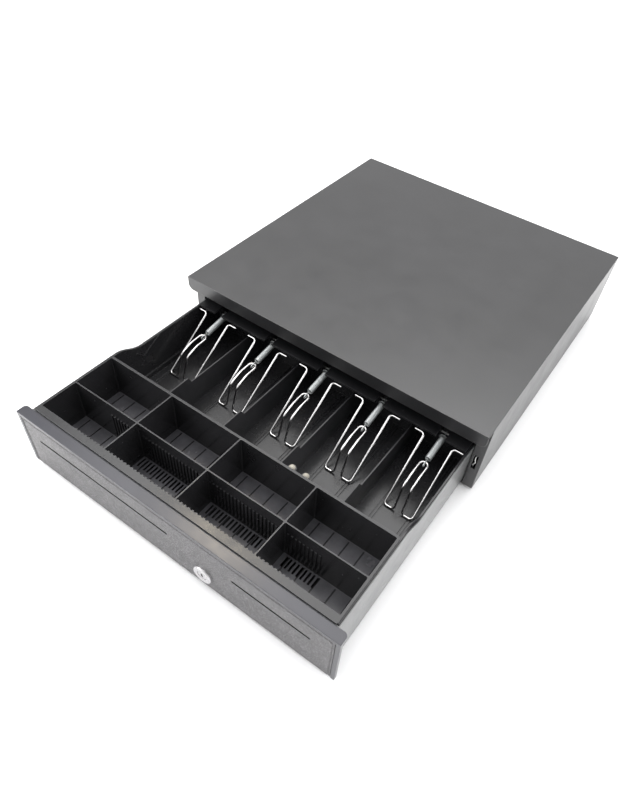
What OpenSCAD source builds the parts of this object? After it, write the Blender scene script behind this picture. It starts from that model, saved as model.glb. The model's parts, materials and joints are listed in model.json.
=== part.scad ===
/* [Case] */
// Width of the case across its sides
case_w = 410; // [404:1:420]
// Depth of the case from its lip to its rear edge
case_d = 415; // [413:1:440]
// Height of the case without its feet
case_h = 102; // [102:1:110]
// Thickness of the case's sheet steel
sheet_t = 1.2; // [1:0.1:1.4]
// Height of the lip over the drawer front
lip_h = 17.5; // [12:0.5:18]
// Distance from the lip back to the front edges of the sides
side_setback = 13; // [13:0.5:15]
// Height of the rubber feet
foot_h = 4; // [3:0.5:8]

/* [Drawer] */
// Travel of the drawer from closed to open
travel = 254; // [200:1:254]
// Width of the drawer front
front_w = 402.4; // [398:0.2:404]
// Height of the drawer front
front_h = 77; // [76:1:77]
// Thickness of the drawer front
front_t = 11.8; // [10:0.2:11.8]
// Length of the steel pan from the drawer front to its rear wall
pan_len = 321.5; // [310:0.5:321.5]
// Thickness of the pan's sheet steel
pan_t = 1; // [0.8:0.1:1.2]

/* [Till] */
// Depth of the coin tray from front to back
coin_d = 104; // [100:1:108]
// Distance between the coin tray's column walls
coin_pitch = 95; // [90:0.5:96]
// Distance between the bill dividers, and between the clips
bay_pitch = 78.5; // [76:0.5:78.5]
// Length of the bill tray's inside behind the coin tray
bill_len = 170; // [165:1:172]

/* [Clips] */
// Diameter of the clip wire
wire_d = 2.4; // [2.3:0.1:2.5]
// Distance between the two long legs of a clip
leg_gap = 35; // [34:0.5:37]
// Height of the clip's pivot above the table
pivot_z = 67.1; // [66:0.1:68]
// Diameter of the coil spring
spring_d = 7.4; // [6.4:0.1:7.6]

/* [Lock] */
// Distance of the lock from the middle of the drawer front
lock_x = 48; // [0:1:60]
// Diameter of the lock's chrome ring
lock_d = 22; // [18:0.5:22]
// How far the ring stands in front of the panel
lock_proud = 3; // [2:0.5:6]

/* [Hidden] */
$fn = 48;
eps = 0.01;

// Heights, up from the table
top_z = foot_h + case_h;
lip_z = top_z - lip_h;
base_z = foot_h + 2 * sheet_t;
front_z = foot_h + 1;
pan_z = base_z + 3.6;
pan_floor_z = pan_z + pan_t;
pan_top_z = 81.5;
pan_low_z = 70;
till_z = pan_floor_z + 2;
bill_floor_z = till_z + 2.5;
rim_z = 82;
rim_t = 2;
cup_floor_z = 30;
deck_z = 73;
rail_z = 44;

// Widths, out from the middle
case_in = case_w / 2 - sheet_t;
pan_out = 191.5;
pan_in = pan_out - pan_t;
till_out = 190;
till_in = 188;
coin_out = 187.6;
rim_out = 188.8;
cup_out = 186.4;

// Places from front to back: the case stands at lip_y, the open drawer front at front_y
lip_y = (travel + lock_proud - case_d) / 2;
front_y = lip_y - travel;
rear_y = lip_y + case_d;
side_y = lip_y + side_setback;
pan_y = front_y + front_t;
pan_rear_y = pan_y + pan_len;
till_y = pan_y + 2;
coin_y = pan_y + 0.5;
coin_rear_y = coin_y + coin_d;
bill_rear_y = coin_rear_y + bill_len;
till_wall = 2;

// Coin tray: it stops a little short of the bill bays, with a wide rim in front and a narrow one behind
rim_w = 8;
rear_rim_w = 2.6;
tray_rear_y = coin_rear_y - 1.7;
row_t = 1.2;
cup_front_y = coin_y + rim_w;
cup_rear_y = tray_rear_y - rear_rim_w;
row_y = coin_y + 51;
groove_w = 1.4;
groove_d = 0.9;
cup_groove_w = 1.6;
cup_groove_d = 0.8;
groove_pitch = 18.1;
groove_inset = 7.4;
tooth_pitch = 4.6;
tooth_w = 2.2;
tooth_d = 1;
comb_x = [-136, 138];
grille_x = [-106, 138];
grille_len = 12;
rivet_x = [60.2, 77.2];
rivet_y = coin_rear_y + 2.9;
rivet_z = 78;
lug_r = 4.5;
lug_t = 6;

// Clips: side-view points are [y, z] from the pivot
pivot_y = coin_rear_y + 135;
wire_r = wire_d / 2;
stub_x = 29.5;
stub_clear = 0.1;
bend_r = 4;
leg_foot = [-71.7, bill_floor_z + 1.7 - pivot_z];
leg_len = norm(leg_foot);
leg_slope = atan2(-leg_foot[1], -leg_foot[0]);
// The fork rises from the foot and bows over twice to end nearly level
// Each bow turns by the angle of its run
fork_tilt = atan2(3, 4);
low_run = [3, 4];
low_turn = atan2(low_run[1], low_run[0]);
low_r = 12;
high_run = [24, 7];
high_turn = atan2(high_run[1], high_run[0]);
high_r = 30;
fork_low = 23.2;
fork_mid = 7;
fork_high = 11.4;
fork_x = 4.7;
fork_rise = leg_slope + fork_tilt;
mid_rise = fork_rise - low_turn;
end_rise = mid_rise - high_turn;
function ahead(rise) = [cos(rise), sin(rise)];
function over(r, from, to) = r * [sin(from) - sin(to), cos(to) - cos(from)];
apex = leg_foot + (bend_r + fork_low) * ahead(fork_rise) + over(low_r, fork_rise, mid_rise)
  + fork_mid * ahead(mid_rise) + over(high_r, mid_rise, end_rise)
  + (fork_high + fork_x) * ahead(end_rise);
clip_x = [for (i = [-2:2]) i * bay_pitch];

// Clip springs: distances along the spring are counted from its anchor pin
anchor = [19, -4.6];
anchor_r = 1.2;
spring_line = apex - anchor;
spring_dip = atan2(-spring_line[1], -spring_line[0]);
apex_at = norm(spring_line);
eye_wire_r = 0.55;
rear_eye_r = anchor_r + 0.4 + eye_wire_r;
front_eye_r = wire_r + 0.5 + eye_wire_r;
eye_play = 3.7;
coil_from = 6.2;
coil_to = apex_at - front_eye_r - 1.6;
washer_r = 5.2;

// Lock: the cam turns down behind a keeper on the base, in the gap between the drawer front and the pan
lock_z = front_z + 21;
lock_y = front_y - lock_proud;
lock_body_r = 7.5;
lock_body_y = front_y + 7.4;
tail_r = 3.5;
tail_y = front_y + 11.2;
cam_y = front_y + 8.2;
cam_t = 1.7;
cam_len = lock_z - 7;
cam_tip_r = 2.6;
sill_y = lip_y + 15;
keeper_w = 24;
keeper_y = lip_y + 6.4;
keeper_h = 4;

// Media slots in the drawer front
slot_z = 52.5;
slot_h = 3.4;
slots = [[-176, 4.6], [83.7, 172]];

// Rails
rail_half = 18;
inner_half = 12.2;
rail_t = 1;
inner_tip = 199.2;
outer_web = 201.2;
outer_edge = 193.6;
ball_r = 2;
ball_x = 196.5;
ball_z = 14.5;
carriage_len = 62;
cage_len = 56;
cage_from = pan_rear_y - 60;
ball_count = 4;

// Latch, seen from above: the hook stands in its released place
hook_y = lip_y + 374;
hook_z = 16;
hook_t = 2.5;
hook_turn = 15;
tail_len = 16;
strike_x = -7;
strike_y = lip_y + 350;
strike_r = 2.5;
coil_y = hook_y + tail_len;
coil_z = 20;
plunger_r = 4;
kick_x = 60;
kick_z = 30;
kick_rear_y = lip_y + 398;
kick_len = 92;
switch_x = -80;
jack_x = 130;
jack_z = 50;
rear_inset = 2.5;
screw_r = 1.75;
screw_hole_r = 1.85;
head_r = 3.4;
head_h = 1.5;
front_screw_x = 196;
front_screw_z = 80.5;
side_screws = [for (s = [-1, 1]) for (y = [35, 205, 375]) [s * 196, lip_y + y]];
rear_screw_x = [-180, 0, 180];
rear_screw_z = 98;

function bay_x(i) = (i - 2.5) * bay_pitch;
// Top of the side wall at a place behind the coin tray: a half cosine from the high part to the low part
dip_from = coin_rear_y + 5;
dip_to = coin_rear_y + 40;
function dip_share(y) = (1 + cos(180 * (y - dip_from) / (dip_to - dip_from))) / 2;
function dip(y) = pan_low_z + (pan_top_z - pan_low_z) * dip_share(y);
dip_steps = 10;

// A plate with round corners that stands on its outline: w along X, d along Y
module round_plate(w, d, h, r) {
  translate([r, 0, 0]) cube([w - 2 * r, d, h]);
  translate([0, r, 0]) cube([w, d - 2 * r, h]);
  for (x = [r, w - r]) for (y = [r, d - r]) translate([x, y, 0]) cylinder(r = r, h = h);
}

module along_x(p0, p1, y, z, r) {
  translate([p0, y, z]) rotate([0, 90, 0]) cylinder(r = r, h = p1 - p0);
}

module along_y(p0, p1, x, z, r) {
  translate([x, p0, z]) rotate([-90, 0, 0]) cylinder(r = r, h = p1 - p0);
}

// Extrudes an outline drawn as [y, z] from x0 to x1
module side_plate(x0, x1, points) {
  translate([x0, 0, 0]) rotate([90, 0, 90]) linear_extrude(x1 - x0) polygon(points);
}

// ---- case ----

module lip_outline() {
  r = 7;
  translate([-case_w / 2, lip_z + r]) square([case_w, top_z - lip_z - r - sheet_t]);
  translate([r - case_w / 2, lip_z]) square([case_w - 2 * r, r + 1]);
  for (s = [-1, 1]) translate([s * (case_w / 2 - r), lip_z + r]) circle(r);
}

module top_cover() {
  flange_y = rear_y - rear_inset - 2 * sheet_t;
  color("#6f6f73") difference() {
    union() {
      translate([-case_w / 2, lip_y, top_z - sheet_t]) cube([case_w, case_d, sheet_t]);
      translate([0, lip_y + sheet_t, 0]) rotate([90, 0, 0]) linear_extrude(sheet_t) lip_outline();
      translate([-200, flange_y, 90]) cube([400, sheet_t, top_z - 90]);
      for (s = [0, 1]) mirror([s, 0, 0]) {
        translate([case_in, side_y, foot_h]) cube([sheet_t, case_d - side_setback, case_h - sheet_t]);
        translate([192.4, side_y, foot_h]) cube([case_w / 2 - 192.4, sheet_t, lip_z - foot_h]);
        translate([188, side_y, foot_h]) cube([case_w / 2 - 188, case_d - side_setback, sheet_t]);
      }
    }
    for (p = side_screws) translate([p[0], p[1], 0]) cylinder(r = screw_hole_r, h = 20);
    for (s = [-1, 1]) {
      along_y(side_y - 1, side_y + 3, s * front_screw_x, front_screw_z, screw_hole_r);
      translate([s * 197.5 - 2.5, side_y - 1, 36]) cube([5, 4, 22]);
    }
    for (x = rear_screw_x) along_y(flange_y - 1, flange_y + 3, x, rear_screw_z, screw_hole_r);
  }
}

module base_plate() {
  z = foot_h + sheet_t;
  color("#3c3c40") difference() {
    union() {
      translate([-case_in, side_y + sheet_t, z]) {
        cube([2 * case_in, case_d - side_setback - sheet_t, sheet_t]);
      }
      translate([-186, sill_y, z]) cube([372, sheet_t, 3.6]);
      translate([lock_x - keeper_w / 2, keeper_y, z]) {
        cube([keeper_w, side_y + 2 * sheet_t - keeper_y, sheet_t]);
        cube([keeper_w, sheet_t, keeper_h]);
      }
      translate([-case_in, rear_y - sheet_t, z]) cube([2 * case_in, sheet_t, 6]);
    }
    for (p = side_screws) translate([p[0], p[1], 0]) cylinder(r = screw_hole_r, h = 20);
  }
}

module rear_panel() {
  y = rear_y - rear_inset - sheet_t;
  z0 = base_z;
  color("#3c3c40") difference() {
    union() {
      translate([-case_in, y, z0]) cube([2 * case_in, sheet_t, top_z - sheet_t - z0]);
      for (s = [0, 1]) mirror([s, 0, 0]) translate([case_in - sheet_t, y - 12, z0]) {
        cube([sheet_t, 12, 90]);
      }
    }
    translate([jack_x - 8.2, y - 1, jack_z - 7.2]) cube([16.4, 4, 14.4]);
    for (x = rear_screw_x) along_y(y - 1, y + 3, x, rear_screw_z, screw_hole_r);
  }
}

module rubber_feet() {
  color("#1a1a1a") for (x = [-170, 170]) for (y = [30, 385]) translate([x, lip_y + y, 0]) {
    cylinder(r = 9, h = foot_h + sheet_t);
  }
}

// A pan-head screw that stands on its head, shank up
module screw(len, head) {
  translate([0, 0, -head]) cylinder(r = head_r, h = head);
  translate([0, 0, -eps]) cylinder(r = screw_r, h = len);
}

module cover_screws() {
  color("silver") for (p = side_screws) translate([p[0], p[1], foot_h]) screw(4.6, head_h);
}

module front_screws() {
  color("silver") for (s = [-1, 1]) translate([s * front_screw_x, side_y, front_screw_z]) {
    rotate([-90, 0, 0]) screw(1.2, 0.9);
  }
}

module rear_screws() {
  y = rear_y - rear_inset;
  color("silver") for (x = rear_screw_x) translate([x, y, rear_screw_z]) {
    rotate([90, 0, 0]) screw(6, head_h);
  }
}

// ---- slides, drawn for the right side and mirrored for the left ----

module outer_rail() {
  len = 380;
  lug_x = outer_web + rail_t - 0.1;
  color("silver") translate([0, lip_y + 15.2, rail_z]) {
    translate([outer_web, 0, -rail_half]) cube([rail_t, len, 2 * rail_half]);
    for (z = [-rail_half, rail_half - 1.2]) {
      translate([outer_edge, 0, z]) cube([outer_web - outer_edge + 0.5, len, 1.2]);
    }
    for (y = [20, 190, 360]) along_x(lug_x, case_in, y, 0, 6);
  }
}

// Nylon blocks that the pan rests on near the lip
module front_glides() {
  color("#d8d8d0") for (s = [-1, 1]) translate([s * 180 - 8, lip_y + 18, base_z]) {
    round_plate(16, 30, 3.2, 2);
  }
}

// A short carriage at the rear of the pan's side
module inner_rail() {
  color("silver") translate([0, pan_rear_y - carriage_len, rail_z]) {
    translate([pan_out, 0, -inner_half]) cube([rail_t, carriage_len, 2 * inner_half]);
    for (z = [-inner_half, inner_half - 1.2]) {
      translate([pan_out, 0, z]) cube([inner_tip - pan_out, carriage_len, 1.2]);
    }
  }
}

module ball_places() {
  pitch = (cage_len - 8) / (ball_count - 1);
  for (k = [-1, 1]) for (i = [0:ball_count - 1]) {
    translate([ball_x, cage_from + 4 + i * pitch, rail_z + k * ball_z]) children();
  }
}

module ball_cage() {
  color("#b0a070") difference() {
    union() {
      for (k = [-1, 1]) translate([193.8, cage_from, rail_z + k * ball_z - 0.4]) cube([6.2, cage_len, 0.8]);
      translate([inner_tip, cage_from, rail_z - ball_z]) cube([0.8, cage_len, 2 * ball_z]);
    }
    ball_places() translate([0, 0, -1]) cylinder(r = ball_r + 0.1, h = 2);
  }
}

module slide_balls() {
  color("silver") for (s = [0, 1]) mirror([s, 0, 0]) ball_places() sphere(ball_r);
}

// ---- drawer ----

function side_profile(y0, y1, z0, shift) = concat(
  [[y0, z0], [y0, pan_top_z + shift], [dip_from, pan_top_z + shift]],
  [for (i = [1:dip_steps]) let (y = dip_from + i * (dip_to - dip_from) / dip_steps) [y, dip(y) + shift]],
  [[y1, pan_low_z + shift], [y1, z0]]
);

module media_slots(y0, y1) {
  for (s = slots) translate([s[0], y0, slot_z - slot_h / 2]) cube([s[1] - s[0], y1 - y0, slot_h]);
}

module drawer_pan() {
  color("#b8b8b8") difference() {
    union() {
      translate([-pan_out, pan_y, pan_z]) cube([2 * pan_out, pan_len, pan_t]);
      translate([-pan_out, pan_y, pan_z]) cube([2 * pan_out, pan_t, pan_top_z - pan_z]);
      translate([-pan_out, pan_rear_y - pan_t, pan_z]) cube([2 * pan_out, pan_t, 50]);
      for (x = [-pan_out, pan_in]) side_plate(x, x + pan_t, side_profile(pan_y, pan_rear_y, pan_z, 0));
    }
    media_slots(pan_y - 1, pan_y + 3);
  }
}

// An angle of sheet steel: a face with a ledge along its top, and ribs that stand against the pan
module front_frame() {
  face_t = 4;
  ledge_t = 2.4;
  ledge_z = front_z + front_h - ledge_t;
  r = 4;
  color("#77767f") difference() {
    union() {
      translate([-front_w / 2, front_y, front_z]) cube([front_w, face_t, front_h]);
      translate([-front_w / 2, front_y, ledge_z]) cube([front_w, front_t - r, ledge_t]);
      translate([r - front_w / 2, front_y, ledge_z]) cube([front_w - 2 * r, front_t, ledge_t]);
      for (s = [-1, 1]) translate([s * (front_w / 2 - r), pan_y - r, ledge_z]) cylinder(r = r, h = ledge_t);
      for (x = [-150, -40, 130]) translate([x - 6, front_y + face_t - eps, 20]) {
        cube([12, front_t - face_t + eps, 26]);
      }
    }
    translate([-front_w / 2 + 4.4, front_y - 1, front_z - 1]) cube([front_w - 8.8, 2.6, front_h - 3]);
    media_slots(front_y, front_y + 8);
    along_y(front_y - 1, front_y + 8, lock_x, lock_z, lock_body_r + 0.1);
  }
}

module front_panel() {
  w = front_w - 10;
  z0 = front_z + 0.4;
  h = front_h - 5.2;
  bead = 1.3;
  color("#95949a") difference() {
    union() {
      translate([-w / 2, front_y + 0.6, z0]) cube([w, 1, h]);
      translate([-w / 2, front_y + 0.2, z0 + h - bead]) cube([w, 1, bead]);
      for (x = [-w / 2, w / 2 - bead]) translate([x, front_y + 0.2, z0]) cube([bead, 1, h]);
      translate([-w / 2 + 2.6, front_y + 0.2, z0]) cube([w - 5.2, 1, h - 2.6]);
    }
    media_slots(front_y - 1, front_y + 3);
    along_y(front_y - 1, front_y + 3, lock_x, lock_z, lock_body_r + 0.1);
  }
}

// ---- lock ----

module lock_body() {
  bore = 5.6;
  ring_r = lock_d / 2;
  color("silver") translate([lock_x, 0, lock_z]) rotate([-90, 0, 0]) rotate_extrude() polygon([
    [bore, lock_y + 0.4], [ring_r - 1.4, lock_y], [ring_r - 0.4, lock_y + 0.4], [ring_r, lock_y + 1.4],
    [ring_r, front_y + 0.2], [lock_body_r, front_y + 0.2], [lock_body_r, lock_body_y], [bore, lock_body_y]
  ]);
}

module lock_nut() {
  y0 = front_y + 4;
  color("silver") difference() {
    along_y(y0, y0 + 3, lock_x, lock_z, lock_body_r + 1.9);
    along_y(y0 - 1, y0 + 4, lock_x, lock_z, lock_body_r + 0.02);
  }
}

module lock_barrel() {
  face_y = lock_y + 0.6;
  color("silver") difference() {
    union() {
      along_y(face_y, lock_body_y - 0.4, lock_x, lock_z, 5.2);
      along_y(lock_body_y - 1, tail_y, lock_x, lock_z, tail_r);
      along_y(cam_y, cam_y + cam_t, lock_x, lock_z, 5);
      translate([lock_x, cam_y, lock_z - cam_tip_r]) cube([cam_len - cam_tip_r, cam_t, 2 * cam_tip_r]);
      along_y(cam_y, cam_y + cam_t, lock_x + cam_len - cam_tip_r, lock_z, cam_tip_r);
    }
    translate([lock_x - 0.8, face_y - 1, lock_z - 3]) cube([1.6, 7, 6]);
    along_y(face_y - 1, face_y + 6, lock_x, lock_z, 1.5);
  }
}

// ---- till ----

module till_tray() {
  wall_low = 1.5;
  color("#1e1f20") difference() {
    union() {
      translate([-till_out, till_y, till_z]) cube([2 * till_out, bill_rear_y + till_wall - till_y, 2.5]);
      for (x = [-185, -60, 60, 183]) {
        translate([x, till_y, pan_floor_z]) cube([2, bill_rear_y - till_y, 2 + eps]);
      }
      translate([-till_out, till_y, till_z]) cube([2 * till_out, till_wall, rim_z - till_z]);
      translate([-till_out, bill_rear_y, till_z]) cube([2 * till_out, till_wall, deck_z - 2.5 - till_z]);
      for (x = [-till_out, till_in]) {
        side_plate(x, x + till_wall, side_profile(till_y, bill_rear_y + till_wall, till_z, 0.5));
      }
      for (x = [-till_in - eps, till_in - wall_low]) {
        translate([x, coin_rear_y, till_z]) cube([wall_low + eps, bill_rear_y - coin_rear_y, 10]);
      }
      for (s = [0, 1]) mirror([s, 0, 0]) wall_rib();
    }
    for (i = [-2:2]) for (x = [-22, -18.5, 13, 16.5]) {
      translate([i * bay_pitch + x, coin_rear_y + 2, bill_floor_z - groove_d]) {
        cube([groove_w, bill_len - 4, 1]);
      }
    }
  }
}

// The V-shaped rib on the bill tray's side wall
module wall_rib() {
  y = coin_rear_y;
  z = pan_low_z;
  side_plate(till_in - 0.8, till_in + eps, [
    [y + 31, z - 5.5], [y + 39, z - 15], [y + 66, z - 0.5],
    [y + 67.5, z - 1.5], [y + 39.4, z - 17], [y + 29.6, z - 6.2]
  ]);
}

function cup_x(i) = [
  (i == 0) ? -cup_out : (i - 2) * coin_pitch + row_t / 2,
  (i == 3) ? cup_out : (i - 1) * coin_pitch - row_t / 2
];
cup_rows = [[cup_front_y, row_y - row_t / 2], [row_y + row_t / 2, cup_rear_y]];

// True where a tooth or a slot from x stays clear of the walls between the columns
function clear_of_columns(x) = min([for (i = [-1:1]) abs(x + tooth_w / 2 - i * coin_pitch)]) > 3;

module coin_tray() {
  skirt = 2;
  body_y = coin_y + 4;
  body_len = tray_rear_y - 0.3 - body_y;
  color("#1e1f20") difference() {
    union() {
      difference() {
        union() {
          translate([-coin_out, body_y, cup_floor_z - 2]) {
            cube([2 * coin_out, body_len, rim_z - cup_floor_z + 2 + eps]);
          }
          translate([-rim_out, coin_y, rim_z]) round_plate(2 * rim_out, tray_rear_y - coin_y, rim_t, 2);
        }
        for (i = [0:3]) for (r = cup_rows) {
          x = cup_x(i);
          translate([x[0], r[0], cup_floor_z]) round_plate(x[1] - x[0], r[1] - r[0], 80, 1.5);
        }
      }
      for (x = [-coin_out, coin_out - skirt]) {
        translate([x, body_y, bill_floor_z]) cube([skirt, body_len, cup_floor_z - bill_floor_z]);
      }
      translate([-coin_out, body_y + body_len - skirt, bill_floor_z]) {
        cube([2 * coin_out, skirt, cup_floor_z - bill_floor_z]);
      }
      tooth_comb(cup_front_y - eps, rim_z + rim_t);
      tooth_comb(row_y - row_t / 2 - tooth_d, rim_z - 14);
      for (x = rivet_x) rivet_lug(x);
    }
    for (i = [0:3]) for (r = cup_rows) {
      for (x = [cup_x(i)[0] + groove_inset : groove_pitch : cup_x(i)[1] - 4]) {
        translate([x, r[0] + 1.5, cup_floor_z - cup_groove_d]) {
          cube([cup_groove_w, r[1] - r[0] - 3, 1]);
        }
      }
    }
    for (x = [grille_x[0] : tooth_pitch : grille_x[1]]) if (clear_of_columns(x)) {
      translate([x, row_y - 2.5 - grille_len, cup_floor_z - 3]) cube([tooth_w, grille_len, 4]);
    }
  }
}

// A lug behind the tray's rear wall that a rivet stands on
module rivet_lug(x) {
  translate([x, rivet_y, rivet_z - lug_t]) cylinder(r = lug_r, h = lug_t);
  translate([x - lug_r, tray_rear_y - 1, rivet_z - lug_t]) {
    cube([2 * lug_r, rivet_y - tray_rear_y + 1, lug_t]);
  }
}

// Upright teeth on a cup's wall, from one end of the comb to the other, left out at the column walls
module tooth_comb(y, top) {
  translate([0, 0, cup_floor_z + 3]) linear_extrude(top - cup_floor_z - 3) {
    for (x = [comb_x[0] : tooth_pitch : comb_x[1]]) if (clear_of_columns(x)) {
      translate([x, y]) square([tooth_w, tooth_d + eps]);
    }
  }
}

module tray_rivets() {
  color("#e8e0c8") for (x = rivet_x) translate([x, rivet_y, rivet_z]) rotate_extrude() polygon([
    [0, 0], [3.4, 0], [3.4, 0.8], [2.6, 2.2], [1.4, 3], [0, 3.2]
  ]);
}

module divider(i) {
  y0 = coin_rear_y + 0.2;
  y1 = bill_rear_y - 0.2;
  high = 60.5;
  low = 52;
  step = y0 + 40;
  color("#2a2a2c") side_plate(bay_x(i) - 0.7, bay_x(i) + 0.7, [
    [y0, bill_floor_z], [y0, high], [step, high], [step + 5, low], [y1, low], [y1, bill_floor_z]
  ]);
}

module hinge_bar() {
  deck_t = 2.5;
  edge = till_in - 0.2;
  front = pivot_y + 0.5;
  ear_w = 5;
  rib_in = 5.7;
  rib_t = 2.2;
  stub_hole_r = wire_r + stub_clear;
  color("#2a2a2c") difference() {
    union() {
      translate([-edge, front, deck_z - deck_t]) cube([2 * edge, bill_rear_y + till_wall - front, deck_t]);
      translate([-edge, bill_rear_y - 2, 54]) cube([2 * edge, 2, deck_z - 54]);
      for (x = clip_x) {
        for (s = [-1, 1]) intersection() {
          translate([x + s * 29 - ear_w / 2, pivot_y - 5, pivot_z - 5]) {
            cube([ear_w, 10, deck_z - pivot_z + 5]);
          }
          translate([-edge, 0, 0]) cube([2 * edge, 1000, 100]);
        }
        for (s = [0, 1]) translate([x, 0, 0]) mirror([s, 0, 0]) {
          translate([rib_in, pivot_y + 12, pivot_z - 9]) cube([rib_t, 14, deck_z - pivot_z + 8]);
        }
      }
    }
    for (x = clip_x) {
      translate([x - rib_in + 0.1, front - 1, deck_z - 10]) cube([2 * rib_in - 0.2, 18.5, 20]);
      along_x(x - stub_x - 10, x - 20, pivot_y, pivot_z, stub_hole_r);
      along_x(x + 20, x + stub_x + 10, pivot_y, pivot_z, stub_hole_r);
      along_x(x - 9, x + 9, pivot_y + anchor[0], pivot_z + anchor[1], anchor_r + 0.02);
    }
  }
}

module anchor_pins() {
  color("silver") for (x = clip_x) {
    along_x(x - 7.8, x + 7.8, pivot_y + anchor[0], pivot_z + anchor[1], anchor_r);
  }
}

// A bend of wire: a part of a ring in the XY plane about the origin, from angle 0
module bend(r, turn) {
  rotate_extrude(angle = turn) translate([r, 0]) circle(wire_r);
}

// A bend that ends on the line from the origin through run
module bend_to(r, run) {
  intersection() {
    bend(r, 90);
    translate([0, 0, -wire_d]) linear_extrude(2 * wire_d) polygon(r * [[0, 0], [run[0], 0], run]);
  }
}

// One side of a clip: the stub, the leg and the foot lie in one plane, with the leg along -Y from the pivot
module clip_side() {
  half = leg_gap / 2;
  translate([half + bend_r, 0, 0]) rotate([0, 90, 0]) cylinder(r = wire_r, h = stub_x - half - bend_r);
  translate([half + bend_r, -bend_r, 0]) rotate([0, 0, 90]) bend(bend_r, 90);
  translate([half, -bend_r, 0]) rotate([90, 0, 0]) cylinder(r = wire_r, h = leg_len - 2 * bend_r);
  translate([half - bend_r, -leg_len + bend_r, 0]) rotate([0, 0, -90]) bend(bend_r, 90);
  translate([fork_x + bend_r, -leg_len, 0]) {
    rotate([0, 90, 0]) cylinder(r = wire_r, h = half - 2 * bend_r - fork_x);
    rotate([fork_tilt, 0, 0]) fork_side();
  }
}

// A straight length of wire along +Y, with what follows it
module straight(len) {
  rotate([-90, 0, 0]) cylinder(r = wire_r, h = len);
  translate([0, len, 0]) children();
}

// A bow of wire from +Y towards -Z, with what follows it
module bow(r, run) {
  translate([0, 0, -r]) {
    rotate([0, -90, 0]) bend_to(r, run);
    rotate([-atan2(run[1], run[0]), 0, 0]) translate([0, 0, r]) children();
  }
}

// The rising inner part of one side, which starts along +Y and ends where it meets its mirror image
module fork_side() {
  translate([0, bend_r, 0]) rotate([0, 0, 180]) bend(bend_r, 90);
  translate([-bend_r, bend_r, 0]) {
    straight(fork_low) bow(low_r, low_run) straight(fork_mid) bow(high_r, high_run) straight(fork_high) {
      translate([-fork_x, 0, 0]) bend(fork_x, 90);
    }
  }
}

module clip_wire(i) {
  color("#e8e8ea") translate([clip_x[i - 1], pivot_y, pivot_z]) rotate([leg_slope, 0, 0]) {
    for (s = [0, 1]) mirror([s, 0, 0]) clip_side();
  }
}

// Spring drawn along -Y from its anchor pin, which lies on the X axis
module clip_spring(i) {
  near = apex_at - 0.3;
  far = apex_at + eye_play;
  pin = [clip_x[i - 1], pivot_y + anchor[0], pivot_z + anchor[1]];
  color("#b0b5b5") translate(pin) rotate([spring_dip, 0, 0]) {
    rotate([0, 90, 0]) rotate_extrude() translate([rear_eye_r, 0]) circle(eye_wire_r);
    along_y(-coil_from - eps, -rear_eye_r, 0, 0, eye_wire_r);
    along_y(-coil_from, -coil_from + 1, 0, 0, washer_r);
    along_y(-coil_to, -coil_from + eps, 0, 0, spring_d / 2);
    along_y(-near + front_eye_r, -coil_to + eps, 0, 0, eye_wire_r);
    for (k = [-1, 1]) along_y(-far, -near, 0, k * front_eye_r, eye_wire_r);
    translate([0, -near, 0]) rotate([0, 90, 0]) half_ring(front_eye_r);
    translate([0, -far, 0]) rotate([0, 90, 0]) rotate([0, 0, 180]) half_ring(front_eye_r);
  }
}

module half_ring(r) {
  rotate_extrude(angle = 180) translate([r, 0]) circle(eye_wire_r);
}

// ---- latch and switch at the rear ----

module strike_plate() {
  y = strike_y - travel;
  color("silver") {
    translate([strike_x - 7, pan_rear_y, 21]) cube([14, y + 6 - pan_rear_y, 2]);
    translate([strike_x - 7, pan_rear_y, 21]) cube([14, 1.5, 20]);
    translate([strike_x, y, 13]) cylinder(r = strike_r, h = 8 + eps);
  }
}

module latch_plate() {
  z = base_z;
  guide_r = 3;
  color("#9a9a9a") {
    translate([-60, lip_y + 362, z]) cube([140, 44, 1.5]);
    translate([kick_x - 9, kick_rear_y, z]) cube([18, 1.5, kick_z + 4]);
    along_y(kick_rear_y - 53, kick_rear_y + eps, kick_x, kick_z, guide_r);
  }
}

// The hook in its latched place, seen from above with its pivot at the origin
module hook_outline() {
  reach = hook_y - strike_y;
  difference() {
    union() {
      circle(5.5);
      translate([-3, -reach - 7]) square([6, reach + 7]);
      translate([strike_x - 3, -reach - 7]) square([7, 4]);
      translate([-4, 0]) square([8, tail_len + 3.5]);
    }
    circle(strike_r + 0.1);
    translate([-1.8, tail_len - 2.2]) square([3.6, 4.8]);
  }
}

module latch_hook() {
  color("#c8c8c8") translate([0, hook_y, hook_z]) rotate([0, 0, hook_turn]) {
    linear_extrude(hook_t) hook_outline();
  }
}

module hook_pin() {
  z = base_z + 1.5;
  color("silver") translate([0, hook_y, 0]) {
    translate([0, 0, z]) cylinder(r = 4, h = hook_z - 0.3 - z);
    translate([0, 0, z]) cylinder(r = strike_r, h = hook_z + hook_t + 1 - z);
    translate([0, 0, hook_z + hook_t + 0.3]) cylinder(r = 4, h = 1);
  }
}

module solenoid_frame() {
  z = base_z + 1.5;
  color("#a8a8a8") difference() {
    union() {
      translate([-50, coil_y - 13, z]) cube([36, 26, 1.5]);
      for (x = [-50, -16]) translate([x, coil_y - 13, z]) cube([2, 26, 24]);
    }
    along_x(-20, -10, coil_y, coil_z, plunger_r + 0.4);
  }
}

module solenoid_coil() {
  color("#8a3b1e") difference() {
    along_x(-48, -16, coil_y, coil_z, 9.5);
    along_x(-44, -10, coil_y, coil_z, plunger_r + 0.4);
  }
}

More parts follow.
